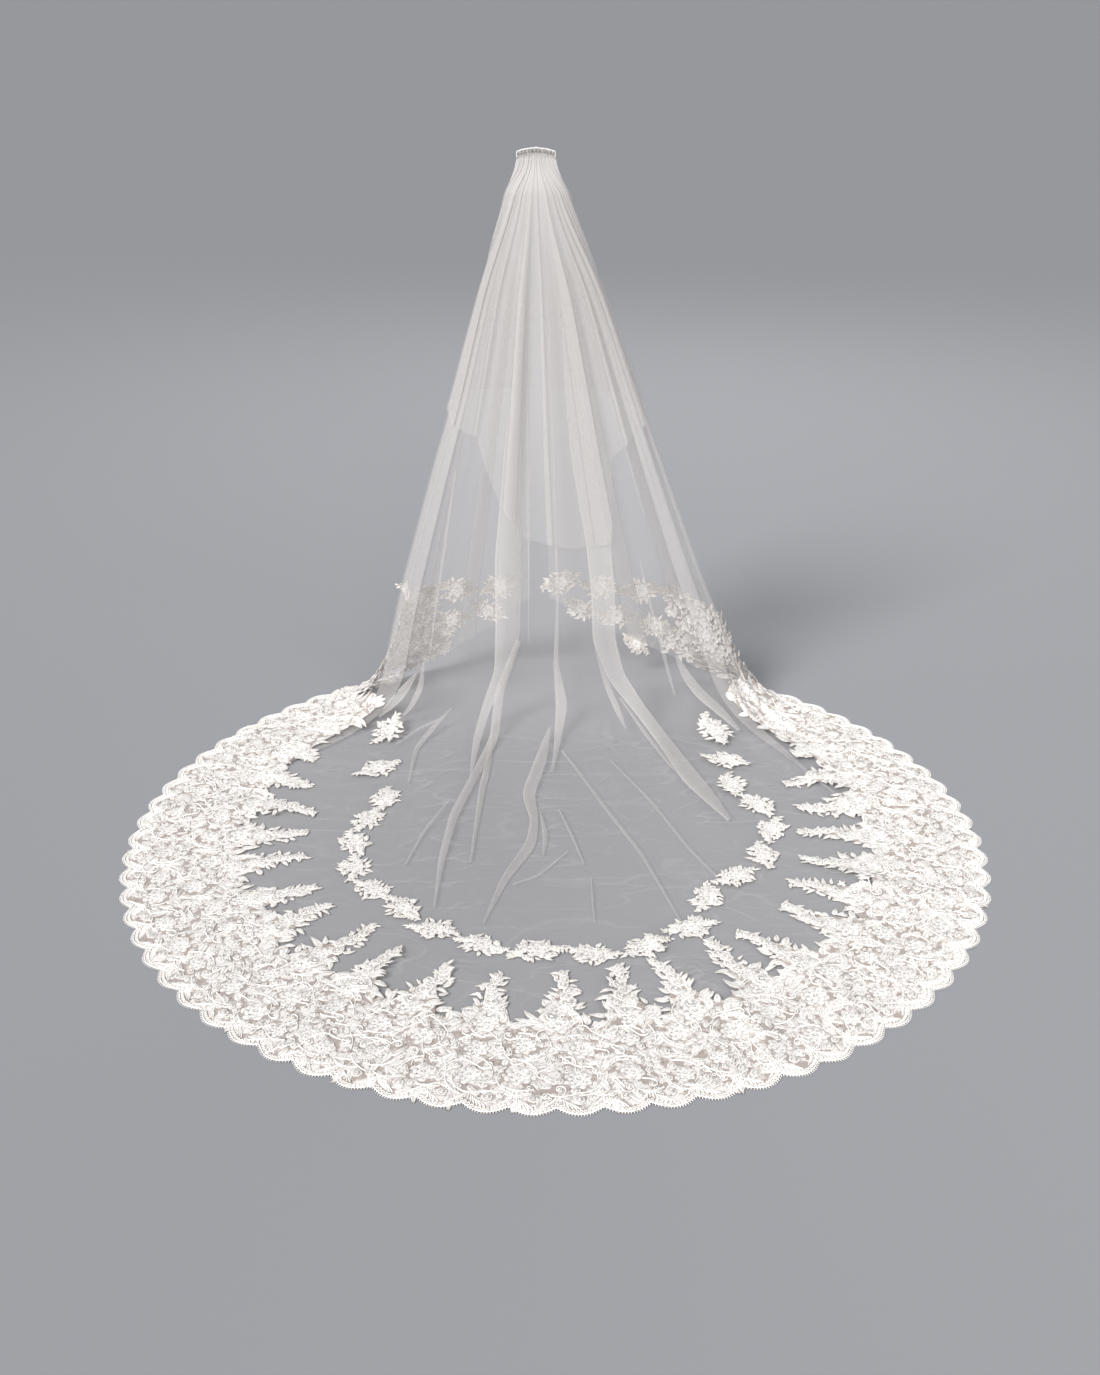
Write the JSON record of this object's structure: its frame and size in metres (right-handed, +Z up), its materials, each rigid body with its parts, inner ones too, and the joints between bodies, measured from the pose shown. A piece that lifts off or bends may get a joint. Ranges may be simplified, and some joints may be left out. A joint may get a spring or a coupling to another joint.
{
  "type": "bridal veil on a comb",
  "caption": "Long two-layer tulle bridal veil gathered on a hair comb, with a short upper layer, a round train and a wide scalloped floral lace border.",
  "frame": {"origin": "the middle of the comb's bar, where the comb sits in the hair", "axes": "+Z up, X along the comb, -Y towards the end of the train, +Y towards the open side with the two free edges"},
  "size_m": [2.2772, 2.1764, 1.684],
  "materials": {
    "tulle": "fine soft net, ivory white, see-through",
    "lace": "embroidered floral lace with raised cords, ivory white, matte",
    "comb": "moulded, ivory, satin",
    "ribbon": "ribbed binding, ivory"
  },
  "bodies": {
    "root": {"comb": "comb", "comb_binding": "ribbon", "train_tulle": "tulle", "blusher_tulle": "tulle", "lace_border": "lace", "trail_spray_1": "lace", "trail_spray_2": "lace", "trail_spray_3": "lace", "trail_spray_4": "lace", "trail_spray_5": "lace", "trail_spray_6": "lace", "trail_spray_7": "lace", "trail_spray_8": "lace", "trail_spray_9": "lace", "trail_spray_10": "lace", "trail_spray_11": "lace", "trail_spray_12": "lace", "trail_spray_13": "lace", "trail_spray_14": "lace", "trail_spray_15": "lace", "trail_spray_16": "lace", "trail_spray_17": "lace", "trail_spray_18": "lace", "trail_spray_19": "lace", "trail_spray_20": "lace", "trail_spray_21": "lace", "trail_spray_22": "lace", "far_spray_1": "lace", "far_spray_2": "lace", "far_spray_3": "lace", "far_spray_4": "lace", "far_spray_5": "lace", "far_spray_6": "lace", "far_spray_7": "lace", "far_spray_8": "lace", "far_spray_9": "lace", "far_spray_10": "lace", "far_spray_11": "lace", "far_spray_12": "lace", "far_spray_13": "lace", "far_spray_14": "lace", "far_spray_15": "lace"}
  },
  "joints": []
}
